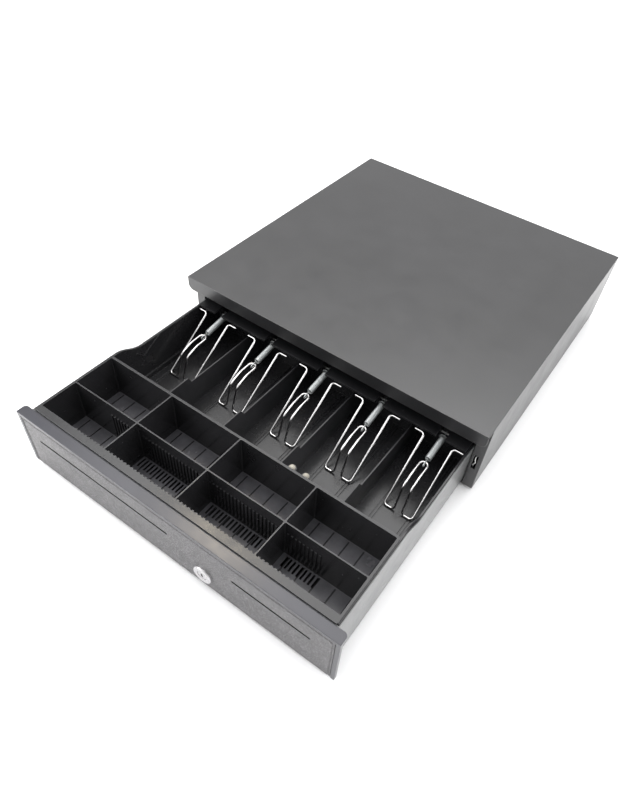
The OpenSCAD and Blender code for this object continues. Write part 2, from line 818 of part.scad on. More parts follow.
module solenoid_plunger() {
  pin_x = -tail_len * tan(hook_turn);
  color("silver") {
    along_x(-38, -10, coil_y, coil_z, plunger_r);
    translate([-10 - eps, coil_y - 3.5, hook_z + hook_t + 0.5]) cube([pin_x + 13, 7, 2.5]);
    translate([pin_x, coil_y, hook_z - 1]) cylinder(r = 1.5, h = hook_t + 2);
  }
}

module kick_spring() {
  color("silver") difference() {
    along_y(kick_rear_y - kick_len, kick_rear_y, kick_x, kick_z, 6);
    along_y(kick_rear_y - kick_len - 1, kick_rear_y + 1, kick_x, kick_z, 4.6);
  }
}

module switch_body() {
  y = lip_y + 337;
  color("#202020") difference() {
    translate([switch_x - 10, y, base_z]) cube([20, 16, 14]);
    along_y(y - 1, y + 6, switch_x, base_z + 8, 2);
  }
}

module switch_button() {
  y = pan_rear_y + travel + 0.4;
  color("#b03020") along_y(y, y + 6, switch_x, base_z + 8, 1.6);
}

module line_jack() {
  y = rear_y - rear_inset - 16;
  color("#202020") difference() {
    union() {
      translate([jack_x - 8, y, jack_z - 7]) cube([16, 16.2, 14]);
      translate([jack_x - 11, rear_y - rear_inset - sheet_t - 1.6, jack_z - 10]) cube([22, 1.6, 20]);
    }
    translate([jack_x - 5, y + 4, jack_z - 3.6]) cube([10, 20, 7.2]);
    translate([jack_x - 2.2, y + 4, jack_z - 5.8]) cube([4.4, 20, 4]);
  }
}

top_cover();
base_plate();
rear_panel();
rubber_feet();
cover_screws();
front_screws();
rear_screws();
mirror([1, 0, 0]) outer_rail();  // left_outer_rail
outer_rail();  // right_outer_rail
front_glides();
mirror([1, 0, 0]) ball_cage();  // left_ball_cage
ball_cage();  // right_ball_cage
slide_balls();
mirror([1, 0, 0]) inner_rail();  // left_inner_rail
inner_rail();  // right_inner_rail
drawer_pan();
front_frame();
front_panel();
lock_body();
lock_nut();
lock_barrel();
till_tray();
coin_tray();
hinge_bar();
anchor_pins();
tray_rivets();
for (i = [1:4]) divider(i);
for (i = [1:5]) clip_wire(i);
for (i = [1:5]) clip_spring(i);
strike_plate();
latch_plate();
latch_hook();
hook_pin();
solenoid_frame();
solenoid_coil();
solenoid_plunger();
kick_spring();
switch_body();
switch_button();
line_jack();
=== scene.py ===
import json
import math

import bmesh
import bpy
from mathutils import Matrix, Vector


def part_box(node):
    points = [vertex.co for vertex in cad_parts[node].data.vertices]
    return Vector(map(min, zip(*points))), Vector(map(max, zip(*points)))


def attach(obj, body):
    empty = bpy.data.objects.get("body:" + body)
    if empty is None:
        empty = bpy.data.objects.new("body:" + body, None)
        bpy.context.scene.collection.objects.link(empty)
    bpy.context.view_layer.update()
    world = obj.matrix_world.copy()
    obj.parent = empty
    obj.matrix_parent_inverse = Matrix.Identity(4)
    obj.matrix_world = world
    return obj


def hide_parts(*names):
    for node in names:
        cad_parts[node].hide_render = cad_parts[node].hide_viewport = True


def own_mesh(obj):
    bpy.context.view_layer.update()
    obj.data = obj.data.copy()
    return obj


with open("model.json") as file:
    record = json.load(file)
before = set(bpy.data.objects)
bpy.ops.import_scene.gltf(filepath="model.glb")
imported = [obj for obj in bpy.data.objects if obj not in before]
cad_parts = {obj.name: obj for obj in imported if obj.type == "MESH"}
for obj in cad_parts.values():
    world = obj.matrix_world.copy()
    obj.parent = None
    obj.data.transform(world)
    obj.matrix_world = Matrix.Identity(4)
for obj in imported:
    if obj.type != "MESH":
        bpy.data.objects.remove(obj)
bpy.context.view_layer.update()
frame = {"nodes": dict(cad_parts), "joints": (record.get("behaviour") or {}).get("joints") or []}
nodes = frame["nodes"]
joints = {joint["name"]: joint for joint in frame["joints"]}
MM = 0.001
FULL_TURN = 2 * math.pi
CLIPS = range(1, 6)
DIVIDERS = range(1, 5)


# ---- node helpers ----

# Socket numbers of the Map Range and Mix nodes, whose sockets share their names
RANGE_VALUE, FROM_LOW, FROM_HIGH, TO_LOW, TO_HIGH = range(5)
MIX_FACTOR, MIX_FIRST, MIX_SECOND = 0, 6, 7
MIXED_COLOUR = 2


def add(tree, kind, sockets=None, **settings):
    """A shader node with its settings, and its sockets' values by name or number."""
    node = tree.nodes.new(kind)
    for key, value in settings.items():
        setattr(node, key, value)
    for key, value in (sockets or {}).items():
        node.inputs[key].default_value = value
    return node


def noise(tree, place, scale, detail, rough=0.55, stretch=None):
    """A noise texture's value over the object's own metres, with so many features a metre."""
    if stretch:
        mapping = add(tree, "ShaderNodeMapping", {"Scale": stretch})
        tree.links.new(place, mapping.inputs["Vector"])
        place = mapping.outputs["Vector"]
    node = add(tree, "ShaderNodeTexNoise", {"Scale": scale, "Detail": detail, "Roughness": rough})
    tree.links.new(place, node.inputs["Vector"])
    return node.outputs["Fac"]


def spread(tree, value, low, high, to_low=0.0, to_high=1.0):
    """A value from low to high becomes to_low to to_high, and is held there outside."""
    limits = {FROM_LOW: low, FROM_HIGH: high, TO_LOW: to_low, TO_HIGH: to_high}
    node = add(tree, "ShaderNodeMapRange", limits, clamp=True)
    tree.links.new(value, node.inputs[RANGE_VALUE])
    return node.outputs[0]


def maths(tree, kind, *values):
    """A Math node's result, where each value is a number or another node's output."""
    node = add(tree, "ShaderNodeMath", operation=kind)
    for socket, value in zip(node.inputs, values):
        if isinstance(value, (int, float)):
            socket.default_value = value
        else:
            tree.links.new(value, socket)
    return node.outputs[0]


def product(tree, first, second):
    """One value times another."""
    return maths(tree, "MULTIPLY", first, second)


def blend_colour(tree, factor, first, second):
    """The first colour where the factor is 0 and the second where it is 1; each is a tuple or an output."""
    node = add(tree, "ShaderNodeMix", data_type="RGBA", clamp_factor=True)
    tree.links.new(factor, node.inputs[MIX_FACTOR])
    for number, value in ((MIX_FIRST, first), (MIX_SECOND, second)):
        if isinstance(value, tuple):
            node.inputs[number].default_value = (*value, 1.0)
        else:
            tree.links.new(value, node.inputs[number])
    return node.outputs[MIXED_COLOUR]


def height_of(tree, place):
    """How high a point is above the floor."""
    split = add(tree, "ShaderNodeSeparateXYZ")
    tree.links.new(place, split.inputs[0])
    return split.outputs["Z"]


# ---- layers over a finish's colour ----
# Each returns a function from the colour so far to the colour with the layer on it.
# corner is 0 on flat faces and 1 along edges.

def specks(amount, speck_colour):
    """Small light specks, more of them for a larger amount, and faint rubs."""
    threshold = 0.76 - 0.08 * amount

    def layer(tree, place, corner, colour):
        dots = noise(tree, place, scale=420.0, detail=2.0, rough=0.4)
        dots = spread(tree, dots, low=threshold, high=threshold + 0.04)
        rubs = noise(tree, place, scale=60.0, detail=8.0, rough=0.75)
        rubs = spread(tree, rubs, low=0.62, high=0.8, to_high=0.35)
        return blend_colour(tree, maths(tree, "MAXIMUM", dots, rubs), colour, speck_colour)
    return layer


def grit(scale, dark, light):
    """A speckled coat: dark grains, so many a metre, with finer light glints among them."""
    dark_cover, light_cover, finer = 0.8, 0.85, 1.3

    def layer(tree, place, corner, colour):
        grains = noise(tree, place, scale, detail=2.0, rough=0.6)
        grains = spread(tree, grains, low=0.38, high=0.62)
        colour = blend_colour(tree, product(tree, grains, dark_cover), colour, dark)
        glints = noise(tree, place, scale * finer, detail=2.0, rough=0.6)
        glints = spread(tree, glints, low=0.55, high=0.68)
        return blend_colour(tree, product(tree, glints, light_cover), colour, light)
    return layer


def painted_rim_highlight(level, rim_highlight_colour):
    """Edges at a height and above, made lighter: a painted highlight."""
    fade = 0.6 * MM

    def layer(tree, place, corner, colour):
        above = spread(tree, height_of(tree, place), low=level - fade, high=level)
        return blend_colour(tree, product(tree, above, corner), colour, rim_highlight_colour)
    return layer


def painted_floor_sheen(level, floor_sheen_colour):
    """A floor at a height, lighter in patches: a painted reflection."""
    reach, solid = 0.3 * MM, 0.1 * MM

    def layer(tree, place, corner, colour):
        off = maths(tree, "ABSOLUTE", maths(tree, "SUBTRACT", height_of(tree, place), level))
        here = spread(tree, off, low=reach, high=solid)
        sheen_patches = noise(tree, place, scale=70.0, detail=5.0, rough=0.6)
        sheen_patches = spread(tree, sheen_patches, low=0.35, high=0.65, to_low=0.7)
        return blend_colour(tree, product(tree, here, sheen_patches), colour, floor_sheen_colour)
    return layer


# ---- finishes ----

# Light edge colour of painted steel: bare metal where the paint is worn, and a painted highlight along the
# bends.
EDGE_WEAR_AND_HIGHLIGHT = (0.32, 0.32, 0.33)
ALONG_Y = 1


def grey(shade):
    """A colour with no tint."""
    return (shade, shade, shade)


def rounded_edges(tree, radius):
    """The normal of edges rounded to a radius, and how much of an edge each point is, 0 to 1."""
    flat_at, edge_at = 0.985, 0.8
    bevel = add(tree, "ShaderNodeBevel", {"Radius": radius}, samples=4)
    flat = add(tree, "ShaderNodeNewGeometry").outputs["True Normal"]
    dot = add(tree, "ShaderNodeVectorMath", operation="DOT_PRODUCT")
    tree.links.new(bevel.outputs["Normal"], dot.inputs[0])
    tree.links.new(flat, dot.inputs[1])
    return bevel.outputs["Normal"], spread(tree, dot.outputs["Value"], low=flat_at, high=edge_at)


def relief(tree, place, grain_scale, brushed):
    """The height of a surface's grain, with fine draw lines on it where it is brushed along an axis."""
    grain = noise(tree, place, grain_scale, detail=2.0)
    if brushed is None:
        return grain
    grain_share, line_share, line_stretch = 0.4, 0.8, 0.02
    stretch = [1.0, 1.0, 1.0]
    stretch[brushed] = line_stretch
    lines = noise(tree, place, scale=2600.0, detail=3.0, rough=0.6, stretch=stretch)
    return maths(tree, "ADD", product(tree, grain, grain_share), product(tree, lines, line_share))


def finish(name, tone, deep, rough, grain, edge, layers=(), brushed=None, mottle=14.0,
           metal=0.0, ior=1.5, coat=0.0, coat_rough=0.2):
    """A worn, slightly uneven surface.
    tone and deep are its two colours, which change over in clouds, mottle of them a metre.
    rough is (smoothest, roughest); grain is (features a metre, depth in metres).
    edge is (radius, colour, amount) of the rounding of its edges and of their wear and painted highlight.
    layers are drawn over the colour in their order; brushed is the axis, 0 to 2, that draw lines follow."""
    material = bpy.data.materials.new(name)
    material.use_nodes = True
    tree = material.node_tree
    shader = tree.nodes["Principled BSDF"]
    place = add(tree, "ShaderNodeTexCoord").outputs["Object"]
    grain_scale, grain_depth = grain
    radius, edge_wear_highlight_colour, edge_wear_highlight_amount = edge
    smoothest, roughest = rough
    grain_tint, wear_rough, patch_scale = 0.16, 0.06, 3.1

    cloud = spread(tree, noise(tree, place, mottle, detail=5.0), low=0.36, high=0.64)
    colour = blend_colour(tree, cloud, deep, tone)
    fine = spread(tree, noise(tree, place, grain_scale, detail=3.0), low=0.3, high=0.7)
    colour = blend_colour(tree, product(tree, fine, grain_tint), colour, tone)

    rounded, corner = rounded_edges(tree, radius)
    # Lighter colour along the edges: wear, and a painted highlight.
    patchy = noise(tree, place, scale=120.0, detail=6.0, rough=0.7)
    patchy = spread(tree, patchy, low=0.42, high=0.62, to_low=0.15)
    edge_wear_and_highlight = product(tree, product(tree, corner, patchy), edge_wear_highlight_amount)
    colour = blend_colour(tree, edge_wear_and_highlight, colour, edge_wear_highlight_colour)
    for layer in layers:
        colour = layer(tree, place, corner, colour)
    tree.links.new(colour, shader.inputs["Base Color"])

    patches = noise(tree, place, mottle * patch_scale, detail=6.0, rough=0.65)
    patches = spread(tree, patches, low=0.3, high=0.7, to_low=smoothest, to_high=roughest)
    roughness = maths(tree, "ADD", patches, product(tree, edge_wear_and_highlight, wear_rough))
    tree.links.new(roughness, shader.inputs["Roughness"])

    bump = add(tree, "ShaderNodeBump", {"Strength": 1.0, "Distance": grain_depth})
    tree.links.new(relief(tree, place, grain_scale, brushed), bump.inputs["Height"])
    tree.links.new(rounded, bump.inputs["Normal"])
    tree.links.new(bump.outputs["Normal"], shader.inputs["Normal"])

    shader.inputs["Metallic"].default_value = metal
    shader.inputs["IOR"].default_value = ior
    shader.inputs["Coat Weight"].default_value = coat
    shader.inputs["Coat Roughness"].default_value = coat_rough
    return material


# Painted steel
case_paint = finish(
    "case_paint", tone=(0.0175, 0.0175, 0.019), deep=(0.0135, 0.0135, 0.0145), rough=(0.30, 0.40),
    grain=(900.0, 0.02 * MM), edge=(1.2 * MM, EDGE_WEAR_AND_HIGHLIGHT, 0.3), mottle=9.0,
    ior=1.75, coat=0.1, coat_rough=0.3)
dark_steel = finish(
    "dark_steel", tone=(0.050, 0.050, 0.054), deep=(0.036, 0.036, 0.040), rough=(0.36, 0.5),
    grain=(1100.0, 0.02 * MM), edge=(0.5 * MM, EDGE_WEAR_AND_HIGHLIGHT, 0.3))
drawer_steel = finish(
    "drawer_steel", tone=(0.105, 0.108, 0.108), deep=(0.085, 0.088, 0.088), rough=(0.26, 0.36),
    grain=(1100.0, 0.02 * MM), edge=(0.4 * MM, EDGE_WEAR_AND_HIGHLIGHT, 0.4), coat=0.3)
ledge_paint = finish(
    "ledge_paint", tone=(0.037, 0.037, 0.046), deep=(0.028, 0.028, 0.035), rough=(0.19, 0.27),
    grain=(1000.0, 0.02 * MM), edge=(1.2 * MM, EDGE_WEAR_AND_HIGHLIGHT, 0.3), mottle=12.0)
front_texture = finish(
    "front_texture", tone=(0.108, 0.105, 0.108), deep=(0.088, 0.085, 0.088), rough=(0.36, 0.5),
    grain=(1200.0, 0.15 * MM), edge=(0.3 * MM, EDGE_WEAR_AND_HIGHLIGHT, 0.35), mottle=45.0,
    layers=[grit(1150.0, dark=(0.022, 0.021, 0.023), light=(0.36, 0.35, 0.36))])

# Moulded plastic and rubber
# Light marks on the plastic: specks, and used as an edge colour, wear with a painted highlight.
MOULD_MARK_AND_EDGE_HIGHLIGHT = (0.07, 0.07, 0.075)
CUP_DEPTH = 54.0 * MM
RIM_BAND = 0.2 * MM
rim_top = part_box("coin_tray")[1].z
till_plastic = finish(
    "till_plastic", tone=(0.016, 0.016, 0.0175), deep=(0.012, 0.012, 0.013), rough=(0.2, 0.3),
    grain=(2200.0, 0.02 * MM), edge=(0.5 * MM, MOULD_MARK_AND_EDGE_HIGHLIGHT, 0.35), layers=[specks(0.0, MOULD_MARK_AND_EDGE_HIGHLIGHT)])
coin_plastic = finish(
    "coin_plastic", tone=(0.018, 0.018, 0.0195), deep=(0.013, 0.013, 0.014), rough=(0.19, 0.28),
    grain=(2200.0, 0.02 * MM), edge=(0.4 * MM, (0.05, 0.05, 0.055), 0.3),
    # a painted highlight on the rim's top edges
    layers=[specks(0.0, MOULD_MARK_AND_EDGE_HIGHLIGHT), painted_rim_highlight(rim_top - RIM_BAND, (0.20, 0.20, 0.21)),
            # a painted reflection on the floors of the coin cups
            painted_floor_sheen(rim_top - CUP_DEPTH, (0.075, 0.074, 0.082))])
divider_plastic = finish(
    "divider_plastic", tone=(0.024, 0.024, 0.026), deep=(0.017, 0.017, 0.019), rough=(0.28, 0.4),
    grain=(2200.0, 0.03 * MM), edge=(0.5 * MM, (0.12, 0.12, 0.125), 0.5), layers=[specks(0.2, grey(0.12))])
bar_plastic = finish(
    "bar_plastic", tone=(0.010, 0.010, 0.011), deep=(0.007, 0.007, 0.008), rough=(0.3, 0.42),
    grain=(2200.0, 0.03 * MM), edge=(0.4 * MM, (0.06, 0.06, 0.065), 0.3),
    layers=[specks(0.2, (0.05, 0.05, 0.052))])
black_plastic = finish(
    "black_plastic", tone=grey(0.03), deep=grey(0.02), rough=(0.3, 0.42),
    grain=(1600.0, 0.02 * MM), edge=(0.4 * MM, grey(0.1), 0.4))
red_plastic = finish(
    "red_plastic", tone=(0.42, 0.05, 0.03), deep=(0.32, 0.035, 0.02), rough=(0.3, 0.42),
    grain=(1600.0, 0.02 * MM), edge=(0.3 * MM, (0.5, 0.15, 0.1), 0.4))
# painted shade for the recesses of the screw heads
shadow_black = finish(
    "shadow_black", tone=grey(0.02), deep=grey(0.01), rough=(0.5, 0.6),
    grain=(1500.0, 0.02 * MM), edge=(0.1 * MM, grey(0.08), 0.3))
ivory = finish(
    "ivory", tone=(0.34, 0.32, 0.27), deep=(0.27, 0.25, 0.21), rough=(0.32, 0.44),
    grain=(1500.0, 0.02 * MM), edge=(0.3 * MM, (0.45, 0.42, 0.36), 0.3))
nylon = finish(
    "nylon", tone=(0.62, 0.62, 0.57), deep=(0.52, 0.52, 0.47), rough=(0.35, 0.5),
    grain=(1500.0, 0.02 * MM), edge=(0.4 * MM, (0.7, 0.7, 0.66), 0.3))
rubber = finish(
    "rubber", tone=grey(0.018), deep=grey(0.012), rough=(0.7, 0.85),
    grain=(700.0, 0.05 * MM), edge=(0.6 * MM, grey(0.05), 0.4))

# Metal and wire
zinc = finish(
    "zinc", tone=(0.62, 0.62, 0.60), deep=(0.48, 0.49, 0.50), rough=(0.26, 0.4),
    grain=(1500.0, 0.01 * MM), edge=(0.3 * MM, grey(0.8), 0.4), brushed=ALONG_Y, metal=1.0)
# zinc made darker for the slide rails, cages and balls: partly a painted shade of the housing's inside
shaded_rail_zinc = finish(
    "shaded_rail_zinc", tone=(0.34, 0.34, 0.34), deep=(0.24, 0.24, 0.25), rough=(0.3, 0.42),
    grain=(1500.0, 0.01 * MM), edge=(0.3 * MM, grey(0.6), 0.4), brushed=ALONG_Y, metal=1.0)
chrome = finish(
    "chrome", tone=(0.62, 0.61, 0.62), deep=(0.52, 0.51, 0.52), rough=(0.24, 0.34),
    grain=(2000.0, 0.006 * MM), edge=(0.4 * MM, grey(0.74), 0.3), metal=0.9)
clip_chrome = finish(
    "clip_chrome", tone=(0.72, 0.71, 0.71), deep=(0.58, 0.57, 0.57), rough=(0.16, 0.26),
    grain=(1800.0, 0.004 * MM), edge=(0.2 * MM, grey(0.85), 0.2), metal=1.0)
spring_steel = finish(
    "spring_steel", tone=(0.50, 0.52, 0.52), deep=(0.38, 0.40, 0.40), rough=(0.3, 0.4),
    grain=(2400.0, 0.006 * MM), edge=(0.2 * MM, grey(0.6), 0.3), metal=0.75)
gold = finish(
    "gold", tone=(0.85, 0.62, 0.26), deep=(0.75, 0.52, 0.2), rough=(0.15, 0.25),
    grain=(1500.0, 0.004 * MM), edge=(0.1 * MM, (0.9, 0.7, 0.4), 0.3), metal=1.0)
winding = finish(
    "winding", tone=(0.30, 0.10, 0.04), deep=(0.20, 0.065, 0.03), rough=(0.3, 0.45),
    grain=(900.0, 0.04 * MM), edge=(0.5 * MM, (0.45, 0.2, 0.1), 0.4), brushed=ALONG_Y)


def wear(material, *names):
    """Gives each CAD node its material."""
    for name in names:
        materials = nodes[name].data.materials
        materials.clear()
        materials.append(material)


wear(case_paint, "top_cover")
wear(dark_steel, "base_plate", "rear_panel")
wear(drawer_steel, "drawer_pan")
wear(ledge_paint, "front_frame")
wear(front_texture, "front_panel")
wear(till_plastic, "till_tray")
wear(coin_plastic, "coin_tray")
wear(bar_plastic, "hinge_bar")
wear(divider_plastic, *(f"divider_{number}" for number in DIVIDERS))
wear(nylon, "front_glides")
wear(rubber, "rubber_feet")
wear(shaded_rail_zinc, "left_outer_rail", "right_outer_rail", "left_ball_cage", "right_ball_cage",
     "slide_balls", "left_inner_rail", "right_inner_rail")
wear(zinc, "cover_screws", "front_screws", "rear_screws", "lock_nut", "strike_plate",
     "latch_plate", "latch_hook", "hook_pin", "solenoid_frame", "solenoid_plunger", "anchor_pins")
wear(chrome, "lock_body", "lock_barrel")
wear(clip_chrome, *(f"clip_wire_{number}" for number in CLIPS))
wear(ivory, "tray_rivets")
wear(winding, "solenoid_coil")
wear(black_plastic, "switch_body", "line_jack")
wear(red_plastic, "switch_button")


# ---- angles, axes and shapes that the pieces share ----

def circle(steps):
    """The angles of so many points evenly round a circle, from 0."""
    return [FULL_TURN * k / steps for k in range(steps)]


def arc(angle, steps):
    """Evenly spaced angles from 0 to an angle, with both of its ends."""
    return [angle * k / steps for k in range(steps + 1)]


def axes_at(place, x_axis, y_axis, z_axis):
    """The matrix that moves the origin to a place and turns the X, Y and Z axes to these."""
    return Matrix.Translation(place) @ Matrix((x_axis, y_axis, z_axis)).transposed().to_4x4()


def sweep(bm, path, radius, sides=8, closed=False):
    """A round wire along a path of points, with flat ends where the path is open."""
    count = len(path)
    normal = None
    rings = []
    for i, point in enumerate(path):
        ahead = path[(i + 1) % count] if closed or i < count - 1 else point
        behind = path[i - 1] if closed or i > 0 else point
        along = (ahead - behind).normalized()
        if normal is None:
            normal = along.orthogonal().normalized()
        normal = (normal - along * normal.dot(along)).normalized()
        side = along.cross(normal)
        ring = [point + radius * (math.cos(turn) * normal + math.sin(turn) * side) for turn in circle(sides)]
        rings.append([bm.verts.new(corner) for corner in ring])
    for i in range(count if closed else count - 1):
        first, second = rings[i], rings[(i + 1) % count]
        shift = 0
        if closed and i == count - 1:
            shift = min(range(sides), key=lambda s: (second[s].co - first[0].co).length)
        for k in range(sides):
            following = (k + 1) % sides
            bm.faces.new((first[k], first[following],
                          second[(following + shift) % sides], second[(k + shift) % sides]))
    if not closed:
        bm.faces.new(rings[0][::-1])
        bm.faces.new(rings[-1])


def join(bm, first, second):
    """A closed band of faces between two loops with the same number of points."""
    for k in range(len(first)):
        following = (k + 1) % len(first)
        bm.faces.new((first[k], first[following], second[following], second[k]))


def lathe(bm, profile, place, steps=32):
    """A ring shape from (along, radius) points, turned about the local X axis of the matrix place."""
    rings = []
    for along, radius in profile:
        ring = [place @ Vector((along, radius * math.cos(turn), radius * math.sin(turn)))
                for turn in circle(steps)]
        rings.append([bm.verts.new(corner) for corner in ring])
    for first, second in zip(rings, rings[1:] + rings[:1]):
        join(bm, first, second)


def rounded_outline(left, right, bottom, top, fillet):
    """The (x, z) points of a rectangle with rounded corners."""
    corner_steps = 3
    centres = ((right - fillet, top - fillet), (left + fillet, top - fillet),
               (left + fillet, bottom + fillet), (right - fillet, bottom + fillet))
    outline = []
    for quarter, (x, z) in enumerate(centres):
        for turn in arc(math.pi / 2, corner_steps):
            turn += quarter * math.pi / 2
            outline.append((x + fillet * math.cos(turn), z + fillet * math.sin(turn)))
    return outline


def piece(name, bm, material, body, smooth=True):
    """A mesh object that rides on a body."""
    bmesh.ops.recalc_face_normals(bm, faces=bm.faces)
    mesh = bpy.data.meshes.new(name)
    bm.to_mesh(mesh)
    bm.free()
    for face in mesh.polygons:
        face.use_smooth = smooth
    obj = bpy.data.objects.new(name, mesh)
    bpy.context.scene.collection.objects.link(obj)
    mesh.materials.append(material)
    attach(obj, body)
    return obj


# ---- bill clip springs ----

COIL_WIRE = 0.55 * MM      # radius of the wire
COIL_RADIUS = 3.15 * MM    # from the spring's axis to the middle of its wire
COIL_PITCH = 1.12 * MM
COIL_FROM = 6.2 * MM       # from the anchor pin to the washer
COIL_LEAD = 1.6 * MM       # from the washer's rear face to the first turn
COIL_NECK = 1.9 * MM       # straight wire from the last turn to the front eye
TURN_STEPS = 20            # points in a turn
END_SHARE = 0.25           # radius that an end turn starts from, as a share of the full one
END_GROWTH = 3.0           # shares that it gains in a turn
REAR_EYE = 2.15 * MM       # radius of the ring on the anchor pin
FRONT_EYE = 2.25 * MM      # radius of the long eye's two ends
EYE_PLAY = 4.0 * MM        # between the long eye's two ends, where the clip's wire slides
RING_STEPS = 28
EYE_STEPS = 12
WASHER = 5.2 * MM          # radius
WASHER_BORE = 1.2 * MM
WASHER_THICK = 1.0 * MM
WASHER_BEVEL = 0.25 * MM


def clip_coil(number):
    """A close-wound extension spring from its anchor pin to the clip's bent end."""
    anchor = Vector(joints[f"spring_{number}_hinge"]["pos_m"])
    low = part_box(f"clip_spring_{number}")[0]
    eye_edge = FRONT_EYE + COIL_WIRE
    reach = Vector((0, low.y - anchor.y + eye_edge, low.z - anchor.z + eye_edge))
    along = reach.normalized()
    side = Vector((1, 0, 0))
    up = along.cross(side)
    far = reach.length
    near = far - EYE_PLAY
    coil_start = COIL_FROM + COIL_LEAD
    coil_end = near - FRONT_EYE - COIL_NECK

    def at(u, v=0.0, w=0.0):
        return anchor + along * u + up * v + side * w

    bm = bmesh.new()
    ring = [at(REAR_EYE * math.cos(turn), REAR_EYE * math.sin(turn)) for turn in circle(RING_STEPS)]
    sweep(bm, ring, COIL_WIRE, sides=10, closed=True)
    sweep(bm, [at(REAR_EYE), at(COIL_FROM + COIL_WIRE)], COIL_WIRE, sides=10)

    turns = (coil_end - COIL_FROM) / COIL_PITCH
    steps = int(turns * TURN_STEPS)
    helix = []
    for k in range(steps + 1):
        turn = FULL_TURN * turns * k / steps
        radius = COIL_RADIUS * min(1.0, END_SHARE + END_GROWTH * min(k, steps - k) / TURN_STEPS)
        helix.append(at(coil_start + (coil_end - coil_start) * k / steps,
                        radius * math.cos(turn), radius * math.sin(turn)))
    sweep(bm, helix, COIL_WIRE)

    sweep(bm, [at(coil_end - COIL_WIRE), at(near - FRONT_EYE)], COIL_WIRE, sides=10)
    half = arc(math.pi, EYE_STEPS)
    eye = [at(far + FRONT_EYE * math.sin(turn), FRONT_EYE * math.cos(turn)) for turn in half]
    eye += [at(near - FRONT_EYE * math.sin(turn), -FRONT_EYE * math.cos(turn)) for turn in half]
    sweep(bm, eye, COIL_WIRE, sides=10, closed=True)

    washer_rim = WASHER - WASHER_BEVEL
    profile = [(0.0, WASHER_BORE), (0.0, washer_rim), (WASHER_BEVEL, WASHER),
               (WASHER_THICK - WASHER_BEVEL, WASHER), (WASHER_THICK, washer_rim), (WASHER_THICK, WASHER_BORE)]
    lathe(bm, profile, axes_at(at(COIL_FROM), along, up, side))
    coil = piece(f"clip_coil_{number}", bm, spring_steel, f"spring_{number}")
    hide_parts(f"clip_spring_{number}")


for number in CLIPS:
    clip_coil(number)


# ---- kick-out spring ----

KICK_WIRE = 0.7 * MM       # radius of the wire
KICK_TURNS = 17
KICK_TURN_STEPS = 26
CLOSED_TURNS = 1.6         # turns at each end that lie close together
CLOSED_RISE = 0.016        # share of the length that they take


def kick_rise(share):
    """The share of the spring's length that the wire has covered after a share of its turns."""
    closed = CLOSED_TURNS / KICK_TURNS
    if share < closed:
        return CLOSED_RISE * share / closed
    if share > 1 - closed:
        return 1 - CLOSED_RISE * (1 - share) / closed
    return CLOSED_RISE + (1 - 2 * CLOSED_RISE) * (share - closed) / (1 - 2 * closed)


def kick_coil():
    """The open kick-out spring on its guide, at one length; the closing drawer shortens the real spring."""
    low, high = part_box("kick_spring")
    centre = (low + high) / 2
    radius = (high.x - low.x) / 2 - KICK_WIRE
    start = low.y + KICK_WIRE
    length = high.y - low.y - 2 * KICK_WIRE
    steps = KICK_TURNS * KICK_TURN_STEPS
    path = []
    for k in range(steps + 1):
        turn = FULL_TURN * KICK_TURNS * k / steps
        path.append(Vector((centre.x + radius * math.cos(turn), start + length * kick_rise(k / steps),
                            centre.z + radius * math.sin(turn))))
    bm = bmesh.new()
    sweep(bm, path, KICK_WIRE)
    coil = piece("kick_coil", bm, spring_steel, "case")
    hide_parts("kick_spring")
    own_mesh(coil)


kick_coil()


# ---- screw recesses ----

HEAD_RADIUS = 3.4 * MM
CROSS_ARMS = 4
CROSS_ARM = 1.9 * MM       # length of an arm
CROSS_HALF = 0.42 * MM     # half an arm's width
CROSS_PROUD = 0.06 * MM
TIP_FROM = 0.8             # share of an arm where its pointed tip starts
TIP_HALF = 0.5             # share of an arm's half width there


def cross(bm, centre, out):
    """A driver's cross on a screw head that faces out."""
    across = out.orthogonal().normalized()
    upward = out.cross(across)
    arm = ((CROSS_ARM * TIP_FROM, -CROSS_HALF * TIP_HALF), (CROSS_ARM, 0.0),
           (CROSS_ARM * TIP_FROM, CROSS_HALF * TIP_HALF), (CROSS_HALF, CROSS_HALF))
    outline = []
    for turn in circle(CROSS_ARMS):
        for a, b in arm:
            x = a * math.cos(turn) - b * math.sin(turn)
            y = a * math.sin(turn) + b * math.cos(turn)
            outline.append(centre + across * x + upward * y)
    lower = [bm.verts.new(point) for point in outline]
    upper = [bm.verts.new(point + out * CROSS_PROUD) for point in outline]
    bm.faces.new(upper)
    bm.faces.new(lower[::-1])
    join(bm, lower, upper)


def screw_recesses():
    """The driver's cross in every screw head, as a dark inlay just proud of the head: painted shade of the
    recess.
    """
    bm = bmesh.new()
    low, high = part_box("cover_screws")
    for x in (low.x + HEAD_RADIUS, high.x - HEAD_RADIUS):
        for y in (low.y + HEAD_RADIUS, (low.y + high.y) / 2, high.y - HEAD_RADIUS):
            cross(bm, Vector((x, y, low.z)), Vector((0, 0, -1)))
    low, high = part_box("front_screws")
    for x in (low.x + HEAD_RADIUS, high.x - HEAD_RADIUS):
        cross(bm, Vector((x, low.y, (low.z + high.z) / 2)), Vector((0, -1, 0)))
    low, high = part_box("rear_screws")
    for x in (low.x + HEAD_RADIUS, (low.x + high.x) / 2, high.x - HEAD_RADIUS):
        cross(bm, Vector((x, high.y, (low.z + high.z) / 2)), Vector((0, 1, 0)))
    piece("screw_recesses", bm, shadow_black, "case", smooth=False)


screw_recesses()


# ---- rear louvres ----

